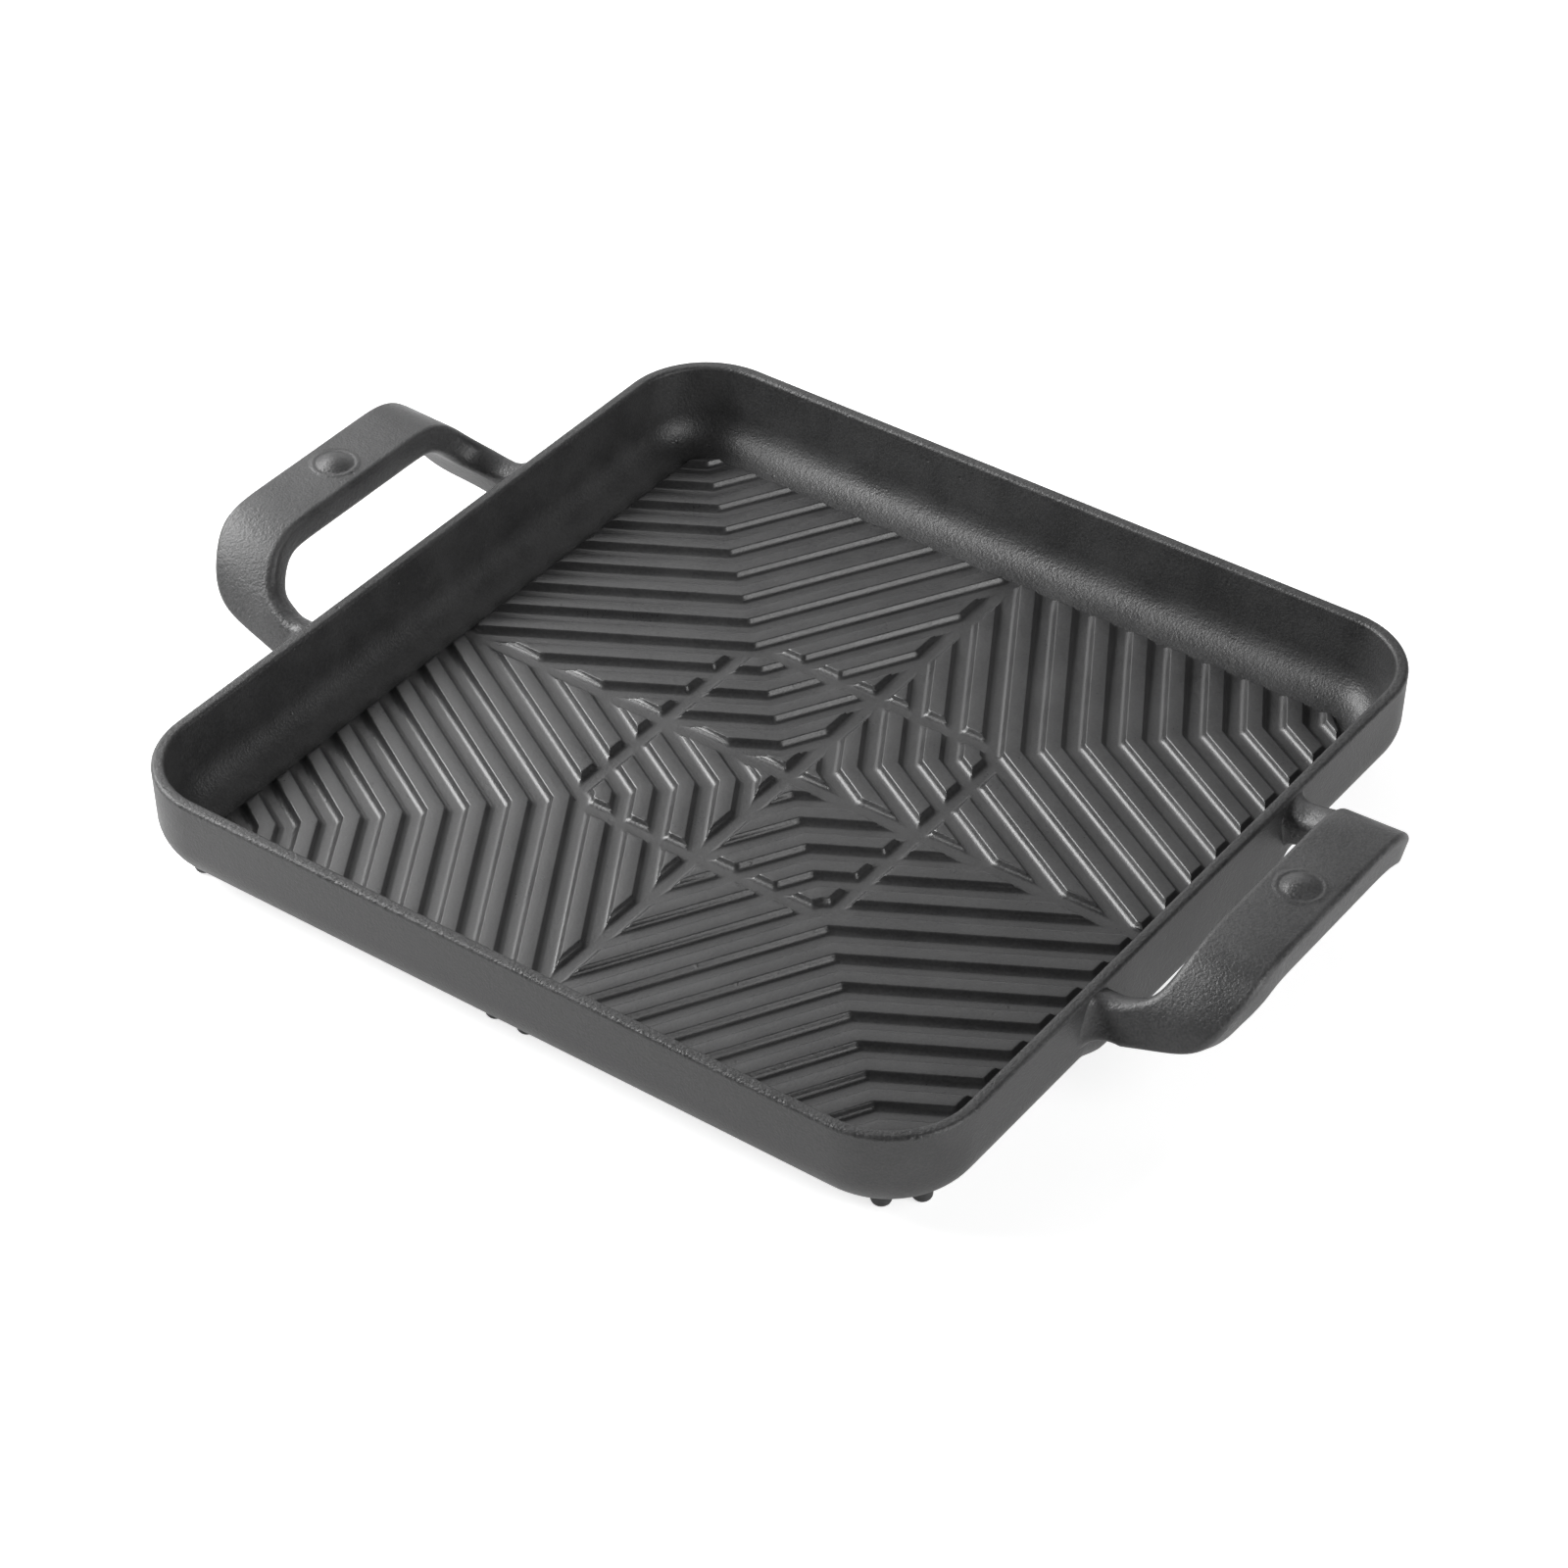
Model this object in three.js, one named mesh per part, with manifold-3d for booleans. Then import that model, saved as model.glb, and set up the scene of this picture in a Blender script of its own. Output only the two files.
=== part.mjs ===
// Square cast-iron grill pan with a star-ribbed floor and two loop handles.
// Millimetres, +Z up. X runs from handle to handle, and Z = 0 is where the guide ridges stand.
import * as THREE from 'three';
import { mergeVertices } from 'three/addons/utils/BufferGeometryUtils.js';
import Module from 'manifold-3d';

const wasm = await Module();
wasm.setup();

// Wall: insets are measured inwards from the outside of the rim
const panLength = 232.8;      // outside of the rim, from handle to handle
const panWidth = 230;         // outside of the rim, the other way
const wallHeight = 24.7;      // underside of the floor to the top of the rim
const rimThickness = 3.4;
const rimRound = 1.1;
const rimCornerRadius = 24;
const leastCornerRadius = 1;
const outerDraft = 0.4;       // how far the outside leans in from the rim to the base round
const baseRound = 11;
const coveRadius = 10;        // hollow round between the inside of the wall and the floor
const floorInset = 14.8;      // outside of the rim to the flat of the floor

// Floor and its star of ribs
const floorThickness = 2.6;   // under the grooves
const ribPitch = 9.866;       // from rib to rib, square to the ribs
const firstRib = 4.637;       // centre of the pan to the middle of the first rib, square to it
const ribAngle = 30;          // degrees between a rib and the axis that its star points along
const ribHeight = 1.75;
const ribTopWidth = 3.95;
const ribDraft = 30;          // degrees that the flanks lean from upright
const ribEndMargin = 0.5;     // edge of the floor to the feet of the rib ends
const channelWidth = 4;       // bottom of the channels that cross the ribs
const squareHalf = 38.2;      // centre of the pan to the middle of the square channel
const ribSink = 0.4;          // how far the ribs run down into the floor
const leastStar = 0.4;        // smallest inner star of a rib, and its smallest lean

// Loop handles: a strap that bends down from a flat bar into two upright legs
const handleReach = 35.1;     // outside of the rim to the far edge of the bar
const barWidth = 18.5;
const barThickness = 8;
const barRise = 13.7;         // top of the rim to the top of the bar
const legSpread = 96;         // outside to outside of the legs, at the wall
const strapRound = 1.7;
const rootFillet = 4.5;       // under a leg, where it runs into the wall
const sideFillet = 2.4;       // beside a leg

// Edges of the strap's upper face on the +Y half, from the bar to the wall, the inner edge first.
// Shares of handleReach out from the rim, of half legSpread along Y and of barRise above the rim.
const barShare = 1 - barWidth / handleReach;
const strapRows = [
  [[barShare, 0.292, 1], [1, 0.292, 1]],
  [[barShare, 0.458, 1], [1, 0.458, 1]],
  [[barShare, 0.585, 0.942], [1, 0.585, 0.964]],
  [[0.453, 0.694, 0.781], [0.994, 0.694, 0.825]],
  [[0.422, 0.771, 0.562], [0.963, 0.777, 0.584]],
  [[0.359, 0.842, 0.27], [0.917, 0.84, 0.358]],
  [[0.289, 0.882, 0.135], [0.868, 0.892, 0.03]],
  [[0.211, 0.906, 0.058], [0.745, 0.941, -0.34]],
  [[0.142, 0.921, 0.022], [0.47, 0.976, -0.505]],
  [[0.08, 0.93, 0.01], [0.225, 0.992, -0.64]],
];

// Domed bosses on the bars
const bossRadius = 5.5;
const bossRingHeight = 0.5;
const domeRadius = 4.5;
const domeHeight = 1.9;

// Guide ridges under the floor, in pairs at the middle of each side and at each corner
const ridgeDrop = 3.8;
const ridgeWidth = 5;
const ridgeLength = 40;
const ridgeFootWidth = 2;
const ridgePairSpacing = 9.2;
const sidePairShift = 3.8;    // clockwise from the middle of a side to the middle of its pair
const cornerPairShift = 1;    // anticlockwise from a corner's diagonal
const ridgeInset = 8;         // outside of the rim to the outer end of a ridge

// Fineness of the rounds
const cornerSteps = 6;
const rimSteps = 3;
const coveSteps = 5;
const baseSteps = 6;
const strapCornerSteps = 3;
const bendSteps = 18;
const filletSteps = 3;
const ridgeEndSteps = 6;
const ridgeRoundSteps = 3;
const bossSides = 24;
const domeSteps = 4;

const halfLength = panLength / 2;
const halfWidth = panWidth / 2;
const rimShoulder = wallHeight - rimRound;
const flankRun = Math.tan(THREE.MathUtils.degToRad(ribDraft));

// Points on a round, in steps of equal angle
function arc(centreX, centreY, radius, fromDegrees, toDegrees, steps) {
  const points = [];
  for (let i = 0; i <= steps; i += 1) {
    const angle = THREE.MathUtils.degToRad(fromDegrees + ((toDegrees - fromDegrees) * i) / steps);
    points.push(new THREE.Vector2(centreX + radius * Math.cos(angle), centreY + radius * Math.sin(angle)));
  }
  return points;
}

// Plan outline of the pan at a given inset from the outside of the rim
function panOutline(inset) {
  const radius = Math.max(rimCornerRadius - inset, leastCornerRadius);
  const cornerX = halfLength - inset - radius;
  const cornerY = halfWidth - inset - radius;
  return [
    ...arc(cornerX, cornerY, radius, 0, 90, cornerSteps),
    ...arc(-cornerX, cornerY, radius, 90, 180, cornerSteps),
    ...arc(-cornerX, -cornerY, radius, 180, 270, cornerSteps),
    ...arc(cornerX, -cornerY, radius, 270, 360, cornerSteps),
  ];
}

function lifted(outline, z) {
  return outline.map((point) => new THREE.Vector3(point.x, point.y, z));
}

// Skins loops of equal point count. A ring closes on its first loop, and a stack gets flat ends.
function loft(loops, isRing) {
  const count = loops[0].length;
  const index = [];
  const bands = isRing ? loops.length : loops.length - 1;
  for (let band = 0; band < bands; band += 1) {
    const low = band * count;
    const high = ((band + 1) % loops.length) * count;
    for (let i = 0; i < count; i += 1) {
      const next = (i + 1) % count;
      index.push(low + i, low + next, high + next, low + i, high + next, high + i);
    }
  }
  if (!isRing) {
    const last = (loops.length - 1) * count;
    for (let i = 1; i < count - 1; i += 1) {
      index.push(0, i + 1, i, last, last + i, last + i + 1);
    }
  }
  const geometry = new THREE.BufferGeometry().setFromPoints(loops.flat());
  geometry.setIndex(index);
  return facingOut(geometry);
}

// Turns the faces round where the enclosed volume comes out negative
function facingOut(geometry) {
  const corners = [new THREE.Vector3(), new THREE.Vector3(), new THREE.Vector3()];
  const index = geometry.index.array;
  let volume = 0;
  for (let i = 0; i < index.length; i += 3) {
    corners.forEach((corner, j) => corner.fromBufferAttribute(geometry.attributes.position, index[i + j]));
    volume += corners[0].dot(corners[1].clone().cross(corners[2]));
  }
  if (volume < 0) {
    geometry.setIndex(Array.from(index).reverse());
  }
  return geometry;
}

function toSolid(geometry) {
  const bare = geometry.clone();
  bare.deleteAttribute('normal');
  bare.deleteAttribute('uv');
  const merged = mergeVertices(bare);
  const vertProperties = new Float32Array(merged.attributes.position.array);
  const triVerts = new Uint32Array(merged.index.array);
  return new wasm.Manifold(new wasm.Mesh({ numProp: 3, vertProperties, triVerts }));
}

function toGeometry(solid) {
  const mesh = solid.getMesh();
  const geometry = new THREE.BufferGeometry();
  geometry.setAttribute('position', new THREE.BufferAttribute(new Float32Array(mesh.vertProperties), 3));
  geometry.setIndex(Array.from(mesh.triVerts));
  return geometry;
}

// Inset of the outside at a height above the underside, between the base round and the rim
function outsideInset(z) {
  return (outerDraft * (rimShoulder - z)) / (rimShoulder - baseRound);
}

// Wall section, carried round the pan: base round and upright outside, then rim, inside and cove
function panWall() {
  const section = [
    ...arc(outerDraft + baseRound, baseRound, baseRound, 270, 180, baseSteps),
    ...arc(rimRound, rimShoulder, rimRound, 180, 90, rimSteps),
    ...arc(rimThickness - rimRound, rimShoulder, rimRound, 90, 0, rimSteps),
    ...arc(floorInset, floorThickness + coveRadius, coveRadius, 180, 270, coveSteps),
    new THREE.Vector2(floorInset, 0),
  ];
  return loft(section.map((point) => lifted(panOutline(point.x), point.y)), true);
}

// Eight-cornered star whose sides all lie at the same distance from the centre of the pan
function star(distance, z) {
  const lean = THREE.MathUtils.degToRad(ribAngle);
  const tip = distance / Math.sin(lean);
  const notch = (Math.SQRT2 * distance) / (Math.sin(lean) + Math.cos(lean));
  const points = [];
  for (let i = 0; i < 8; i += 1) {
    const radius = i % 2 === 0 ? tip : notch;
    const angle = (i * Math.PI) / 4;
    points.push(new THREE.Vector3(radius * Math.cos(angle), radius * Math.sin(angle), z));
  }
  return points;
}

// One rib: a star-shaped band with drafted flanks that runs down into the floor
function ribRing(distance) {
  const top = ribTopWidth / 2;
  const foot = top + (ribHeight + ribSink) * flankRun;
  const low = floorThickness - ribSink;
  const high = floorThickness + ribHeight;
  const innerFoot = Math.max(distance - foot, leastStar);
  const innerTop = Math.max(distance - top, innerFoot + leastStar);
  return loft([
    star(distance + foot, low),
    star(distance + top, high),
    star(innerTop, high),
    star(innerFoot, low),
  ], true);
}

// Half width at a height of a cut whose sides lean like the ribs' flanks
function cutHalf(z) {
  return channelWidth / 2 + (z - floorThickness) * flankRun;
}

function rectangle(halfX, halfY, z) {
  return [
    new THREE.Vector3(halfX, halfY, z),
    new THREE.Vector3(-halfX, halfY, z),
    new THREE.Vector3(-halfX, -halfY, z),
    new THREE.Vector3(halfX, -halfY, z),
  ];
}

// Floor plate with the ribs, cut by the field's edge, the crossing channels and the square channel
function ribbedFloor() {
  const cutLow = floorThickness - 2 * ribSink;
  const cutHigh = floorThickness + 2 * ribHeight;
  const fieldInset = (z) => floorInset + ribEndMargin + (z - floorThickness) * flankRun;
  const field = toSolid(loft([
    lifted(panOutline(fieldInset(cutLow)), cutLow),
    lifted(panOutline(fieldInset(cutHigh)), cutHigh),
  ], false));
  const lengthwise = toSolid(loft([
    rectangle(halfLength, cutHalf(cutLow), cutLow),
    rectangle(halfLength, cutHalf(cutHigh), cutHigh),
  ], false));
  const crosswise = toSolid(loft([
    rectangle(cutHalf(cutLow), halfWidth, cutLow),
    rectangle(cutHalf(cutHigh), halfWidth, cutHigh),
  ], false));
  const squareLoop = (side, z) => rectangle(squareHalf + side * cutHalf(z), squareHalf + side * cutHalf(z), z);
  const square = toSolid(loft([
    squareLoop(1, cutLow),
    squareLoop(1, cutHigh),
    squareLoop(-1, cutHigh),
    squareLoop(-1, cutLow),
  ], true));
  const lean = THREE.MathUtils.degToRad(ribAngle);
  const farthest = (Math.sin(lean) + Math.cos(lean)) * (Math.max(halfLength, halfWidth) - floorInset);
  let solid = toSolid(loft([
    lifted(panOutline(floorInset), 0),
    lifted(panOutline(floorInset), floorThickness),
  ], false));
  for (let distance = firstRib; distance < farthest; distance += ribPitch) {
    const rib = toSolid(ribRing(distance)).intersect(field);
    solid = solid.add(rib.subtract(lengthwise).subtract(crosswise).subtract(square));
  }
  return toGeometry(solid);
}

const barOuter = halfLength + handleReach;
const barTop = wallHeight + barRise;

// Smooth edge of the strap from leg to leg, through the inner (0) or the outer (1) points of the rows
function strapEdge(side) {
  const half = strapRows.map((row) => new THREE.Vector3(
    halfLength + row[side][0] * handleReach,
    (row[side][1] * legSpread) / 2,
    wallHeight + row[side][2] * barRise,
  ));
  const mirrored = half.map((point) => new THREE.Vector3(point.x, -point.y, point.z));
  return new THREE.CatmullRomCurve3([...mirrored.reverse(), ...half]);
}

function wallX(z) {
  return halfLength - outsideInset(z);
}

// Section ends moved on into the wall while they grow along a quarter round
function rootStation({ inner, outer }, share) {
  const angle = (Math.PI / 2) * share;
  const towards = (point) => (
    point.clone().setX(THREE.MathUtils.lerp(point.x, wallX(point.z), Math.sin(angle)))
  );
  return { inner: towards(inner), outer: towards(outer), grow: 1 - Math.cos(angle) };
}

// Stations from one end of the strap to the other: both edges, and how far the root fillet has grown
function strapStations() {
  const edges = [strapEdge(0), strapEdge(1)];
  const steps = 2 * bendSteps + 1;
  const stations = [];
  for (let i = 0; i <= steps; i += 1) {
    const [inner, outer] = edges.map((edge) => edge.getPoint(i / steps));
    stations.push({ inner, outer, grow: 0 });
  }
  const [first, last] = [stations[0], stations[steps]];
  for (let i = 1; i <= filletSteps; i += 1) {
    stations.unshift(rootStation(first, i / filletSteps));
    stations.push(rootStation(last, i / filletSteps));
  }
  return stations;
}

// Rounded section of the strap: across from the inner to the outer edge, and inwards by its thickness
function strapSection(station, travel) {
  const across = new THREE.Vector3().subVectors(station.outer, station.inner);
  const inwards = new THREE.Vector3().crossVectors(travel, across).normalize();
  const halfAcross = (across.length() + station.grow * rootFillet) / 2;
  const halfDeep = barThickness / 2 + station.grow * sideFillet;
  across.normalize();
  const centre = station.inner.clone().addScaledVector(across, halfAcross);
  centre.addScaledVector(inwards, barThickness / 2);
  const cornerAcross = halfAcross - strapRound;
  const cornerDeep = halfDeep - strapRound;
  const outline = [
    ...arc(cornerAcross, cornerDeep, strapRound, 0, 90, strapCornerSteps),
    ...arc(-cornerAcross, cornerDeep, strapRound, 90, 180, strapCornerSteps),
    ...arc(-cornerAcross, -cornerDeep, strapRound, 180, 270, strapCornerSteps),
    ...arc(cornerAcross, -cornerDeep, strapRound, 270, 360, strapCornerSteps),
  ];
  return outline.map((point) => (
    centre.clone().addScaledVector(across, point.x).addScaledVector(inwards, point.y)
  ));
}

// Handle on the +X side, whose two ends lie flat on the outside of the wall
function handle() {
  const stations = strapStations();
  const middle = ({ inner, outer }) => new THREE.Vector3().addVectors(inner, outer).multiplyScalar(0.5);
  const loops = stations.map((station, i) => {
    const before = middle(stations[Math.max(i - 1, 0)]);
    const after = middle(stations[Math.min(i + 1, stations.length - 1)]);
    return strapSection(station, after.sub(before));
  });
  for (const end of [loops[0], loops[loops.length - 1]]) {
    end.forEach((point) => point.setX(wallX(point.z)));
  }
  return loft(loops, false);
}

// Boss: a dome inside a low ring, seated on the flat of the bar
function boss() {
  const ringFlank = (bossRadius - domeRadius) / 4;
  const grooveHeight = bossRingHeight / 2;
  const dome = arc(0, 0, 1, 0, 90, domeSteps).map((point) => (
    new THREE.Vector2(domeRadius * point.x, grooveHeight + (domeHeight - grooveHeight) * point.y)
  ));
  dome[domeSteps].x = 0;
  const profile = [
    new THREE.Vector2(0, 0),
    new THREE.Vector2(bossRadius, 0),
    new THREE.Vector2(bossRadius - ringFlank, bossRingHeight),
    new THREE.Vector2(domeRadius + ringFlank, bossRingHeight),
    ...dome,
  ];
  return new THREE.LatheGeometry(profile, bossSides).rotateX(Math.PI / 2);
}

// Guide ridge with its outer end at the origin, running towards -X, rounded over to a flat foot
function guideRidge() {
  const overhang = (ridgeWidth - ridgeFootWidth) / 2;
  const loops = arc(0, overhang, overhang, 270, 360, ridgeRoundSteps).map((point) => {
    const radius = ridgeFootWidth / 2 + point.x;
    const outline = [
      ...arc(-ridgeWidth / 2, 0, radius, -90, 90, ridgeEndSteps),
      ...arc(-ridgeLength + ridgeWidth / 2, 0, radius, 90, 270, ridgeEndSteps),
    ];
    return lifted(outline, point.y);
  });
  const shoulder = loops[loops.length - 1];
  loops.push(shoulder.map((point) => point.clone().setZ(ridgeDrop)));
  return loft(loops, false);
}

function ironPiece(name, geometry) {
  const material = new THREE.MeshStandardMaterial({ color: 0x4b4c4d, roughness: 0.75, metalness: 0.35 });
  const mesh = new THREE.Mesh(geometry, material);
  mesh.name = name;
  return mesh;
}

// Everything above the underside of the floor stands on the guide ridges
const pan = new THREE.Group();
const body = new THREE.Group();
body.position.z = ridgeDrop;
body.add(ironPiece('pan_wall', panWall()));
body.add(ironPiece('ribbed_floor', ribbedFloor()));
pan.add(body);

for (const [side, turn] of [['right', 0], ['left', Math.PI]]) {
  const grip = new THREE.Group();
  grip.rotation.z = turn;
  grip.add(ironPiece(`handle_${side}`, handle()));
  const dome = ironPiece(`boss_${side}`, boss());
  dome.position.set(barOuter - barWidth / 2, 0, barTop);
  grip.add(dome);
  body.add(grip);
}

// A pair of ridges lies along the line from each place towards the middle of the pan
const diagonalReach = (rimCornerRadius - ridgeInset) * Math.SQRT1_2;
const ridgeX = halfLength - rimCornerRadius + diagonalReach;
const ridgeY = halfWidth - rimCornerRadius + diagonalReach;
const ridgePlaces = [
  ['right', halfLength - ridgeInset, 0, 0],
  ['back_right', ridgeX, ridgeY, 45],
  ['back', 0, halfWidth - ridgeInset, 90],
  ['back_left', -ridgeX, ridgeY, 135],
  ['left', -halfLength + ridgeInset, 0, 180],
  ['front_left', -ridgeX, -ridgeY, 225],
  ['front', 0, -halfWidth + ridgeInset, 270],
  ['front_right', ridgeX, -ridgeY, 315],
];
for (const [place, x, y, degrees] of ridgePlaces) {
  const pair = new THREE.Group();
  pair.position.set(x, y, 0);
  pair.rotation.z = THREE.MathUtils.degToRad(degrees);
  const shift = degrees % 90 === 0 ? -sidePairShift : cornerPairShift;
  for (const [number, side] of [[1, 1], [2, -1]]) {
    const ridge = ironPiece(`ridge_${place}_${number}`, guideRidge());
    ridge.position.y = shift + (side * ridgePairSpacing) / 2;
    pair.add(ridge);
  }
  pan.add(pair);
}

export default pan;
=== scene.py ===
import math
import bpy
import bmesh
from mathutils import Matrix, Vector
from mathutils.geometry import delaunay_2d_cdt


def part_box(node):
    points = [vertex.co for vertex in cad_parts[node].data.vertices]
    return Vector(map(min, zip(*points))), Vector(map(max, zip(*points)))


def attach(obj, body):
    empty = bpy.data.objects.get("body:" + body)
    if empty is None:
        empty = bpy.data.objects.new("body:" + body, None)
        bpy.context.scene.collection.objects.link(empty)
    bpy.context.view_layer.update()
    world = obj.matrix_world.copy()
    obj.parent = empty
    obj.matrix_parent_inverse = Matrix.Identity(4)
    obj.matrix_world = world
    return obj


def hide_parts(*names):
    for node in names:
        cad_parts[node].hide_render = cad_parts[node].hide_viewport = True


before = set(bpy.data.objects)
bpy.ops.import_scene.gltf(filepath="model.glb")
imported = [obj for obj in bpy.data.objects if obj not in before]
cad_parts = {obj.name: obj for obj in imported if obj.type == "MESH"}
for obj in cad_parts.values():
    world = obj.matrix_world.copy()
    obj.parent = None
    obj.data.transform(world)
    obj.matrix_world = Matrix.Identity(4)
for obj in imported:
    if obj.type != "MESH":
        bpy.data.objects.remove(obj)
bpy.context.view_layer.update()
scene = bpy.context.scene
scene.view_settings.view_transform = "Standard"
mm = 0.001

# the pan's own measures, read off the frame, in mm
wallLow, wallHigh = (Vector(corner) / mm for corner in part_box("pan_wall"))
halfX, halfY = wallHigh.x, wallHigh.y
underside, rimTop = wallLow.z, wallHigh.z
print("frame loaded:", len(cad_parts), "nodes")

# camera solved on the rim and the star of ribs, aimed at the middle of the rim; degrees and mm
photoView = {"lens": 103.8, "sensor": 36, "azimuth": 35.55, "elevation": 38.74, "roll": 0.31,
             "distance": 1093.8, "slideRight": -1.19, "slideUp": -18.5}


def makeCamera(view):
    turn = math.radians(view["azimuth"])
    rise = math.radians(view["elevation"])
    roll = math.radians(view["roll"])
    back = Vector((math.sin(turn) * math.cos(rise), -math.cos(turn) * math.cos(rise), math.sin(rise)))
    level = Vector((math.cos(turn), math.sin(turn), 0))
    upright = back.cross(level)
    right = level * math.cos(roll) + upright * math.sin(roll)
    up = upright * math.cos(roll) - level * math.sin(roll)
    place = Vector((0, 0, rimTop)) + back * view["distance"]
    place += right * view["slideRight"] + up * view["slideUp"]
    data = bpy.data.cameras.new("photoCamera")
    data.sensor_width = view["sensor"]
    data.lens = view["lens"]
    camera = bpy.data.objects.new("photoCamera", data)
    scene.collection.objects.link(camera)
    axes = Matrix((right, up, back)).transposed().to_4x4()
    camera.matrix_world = Matrix.Translation(place * mm) @ axes
    scene.camera = camera


makeCamera(photoView)
print("camera placed")


# a maths node, fed with numbers or with what other nodes give
def mathNode(tree, operation, *values):
    node = tree.nodes.new("ShaderNodeMath")
    node.operation = operation
    for socket, value in zip(node.inputs, values):
        if isinstance(value, (int, float)):
            socket.default_value = value
        else:
            tree.links.new(value, socket)
    return node.outputs[0]


# soft lamps round the left side and the back, with a weaker fill on the right; degrees, metres, watts
studio = {"lampSize": 0.5, "lampDistance": 1.0,
          "lamps": {"left": (180, 35, 5.7), "frontLeft": (210, 35, 7.1), "backLeft": (150, 35, 1.3),
                    "backLow": (120, 15, 0.6), "backHigh": (125, 50, 0.5), "back": (90, 35, 0.4),
                    "right": (0, 35, 1.9), "rightLow": (0, 15, 2.7)},
          "overhead": 0.02, "horizon": 0.08, "horizonTop": 0.55, "skySeen": 1.0,
          "floorTone": 0.82, "seenLift": 0.75, "mirrorLift": 0.4, "floorSpan": 8}


def makeLamp(name, azimuth, elevation, power, look):
    turn, rise = math.radians(azimuth), math.radians(elevation)
    aim = Vector((math.cos(turn) * math.cos(rise), math.sin(turn) * math.cos(rise), math.sin(rise)))
    data = bpy.data.lights.new(name, "AREA")
    data.shape = "DISK"
    data.size = look["lampSize"]
    data.energy = power
    lamp = bpy.data.objects.new(name, data)
    lamp.location = aim * look["lampDistance"]
    lamp.rotation_mode = "QUATERNION"
    lamp.rotation_quaternion = aim.to_track_quat("Z", "Y")
    scene.collection.objects.link(lamp)


# dark overhead and paler at the horizon, but white where the camera sees it
def makeSurround(look):
    world = bpy.data.worlds.new("paleSurround")
    scene.world = world
    world.use_nodes = True
    nodes, links = world.node_tree.nodes, world.node_tree.links
    heights = nodes.new("ShaderNodeSeparateXYZ")
    links.new(nodes.new("ShaderNodeTexCoord").outputs["Generated"], heights.inputs[0])
    fade = nodes.new("ShaderNodeMapRange")
    fade.interpolation_type = "SMOOTHSTEP"
    links.new(heights.outputs["Z"], fade.inputs["Value"])
    fade.inputs["From Max"].default_value = look["horizonTop"]
    fade.inputs["To Min"].default_value = look["horizon"]
    fade.inputs["To Max"].default_value = look["overhead"]
    seen = nodes.new("ShaderNodeMix")
    links.new(nodes.new("ShaderNodeLightPath").outputs["Is Camera Ray"], seen.inputs["Factor"])
    links.new(fade.outputs["Result"], seen.inputs["A"])
    seen.inputs["B"].default_value = look["skySeen"]
    nodes["Background"].inputs["Color"].default_value = (1, 1, 1, 1)
    links.new(seen.outputs["Result"], nodes["Background"].inputs["Strength"])


# the floor's own glow, for what the camera sees and for what the iron mirrors
def floorGlow(tree, look):
    rays = tree.nodes.new("ShaderNodeLightPath").outputs
    seen = mathNode(tree, "MULTIPLY", rays["Is Camera Ray"], look["seenLift"])
    mirrored = mathNode(tree, "MAXIMUM", rays["Is Glossy Ray"], rays["Is Transmission Ray"])
    return mathNode(tree, "MAXIMUM", seen, mathNode(tree, "MULTIPLY", mirrored, look["mirrorLift"]))


def makeStageFloor(look):
    finish = bpy.data.materials.new("paleFloor")
    finish.use_nodes = True
    tree = finish.node_tree
    shader = tree.nodes["Principled BSDF"]
    tone = look["floorTone"]
    shader.inputs["Base Color"].default_value = (tone, tone, tone, 1)
    shader.inputs["Roughness"].default_value = 1.0
    shader.inputs["Specular IOR Level"].default_value = 0.0
    shader.inputs["Emission Color"].default_value = (1, 1, 1, 1)
    tree.links.new(floorGlow(tree, look), shader.inputs["Emission Strength"])
    half = look["floorSpan"] / 2
    corners = [(-half, -half, 0), (half, -half, 0), (half, half, 0), (-half, half, 0)]
    mesh = bpy.data.meshes.new("paleFloor")
    mesh.from_pydata(corners, [], [(0, 1, 2, 3)])
    mesh.materials.append(finish)
    floor = bpy.data.objects.new("paleFloor", mesh)
    scene.collection.objects.link(floor)


def makeStage(look):
    for name, (azimuth, elevation, power) in look["lamps"].items():
        makeLamp(name + "Lamp", azimuth, elevation, power, look)
    makeSurround(look)
    makeStageFloor(look)


makeStage(studio)
print("stage lit")

# sand-cast iron: fine grain, lumps, slow mottling and scattered pits, in object space; sizes in mm
ironLooks = {
    "wallIron": {"dark": 0.036, "light": 0.060, "rough": (0.38, 0.50), "gloss": 0.65,
                 "grainBump": 1.0, "rimBump": 0.5},
    # darker tone than the wall iron on the ribbed floor: painted shade for the dark rib flanks and grooves
    "ribIron": {"dark": 0.034, "light": 0.052, "rough": (0.31, 0.37), "gloss": 0.8,
                "grainBump": 0.3, "rimBump": 0},
    # lighter tone than the wall iron on the handles and bosses: painted light, standing in for the light the
    # handles catch
    "handleIron": {"dark": 0.050, "light": 0.082, "rough": (0.36, 0.48), "gloss": 0.6,
                   "grainBump": 1.1, "rimBump": 0},
    "baseIron": {"dark": 0.038, "light": 0.060, "rough": (0.48, 0.60), "gloss": 0.6,
                 "grainBump": 1.0, "rimBump": 0},
}
ironGrain = {"grainSize": 0.6, "grainDetail": 3, "lumpSize": 1.3, "lumpDetail": 2,
             "mottleSize": 14, "mottleDetail": 3, "mottleShare": 0.5,
             "pitSpacing": 9, "pitSize": 0.6, "pitFloor": 0.4,
             "bumpDepth": 0.13, "lumpShare": 0.7, "speckle": 0.05, "rimBand": 2.4,
             "tintSpan": (0.4, 0.6), "wearSpan": (0.3, 0.7), "darkBlue": 1.02, "lightBlue": 1.01}


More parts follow.
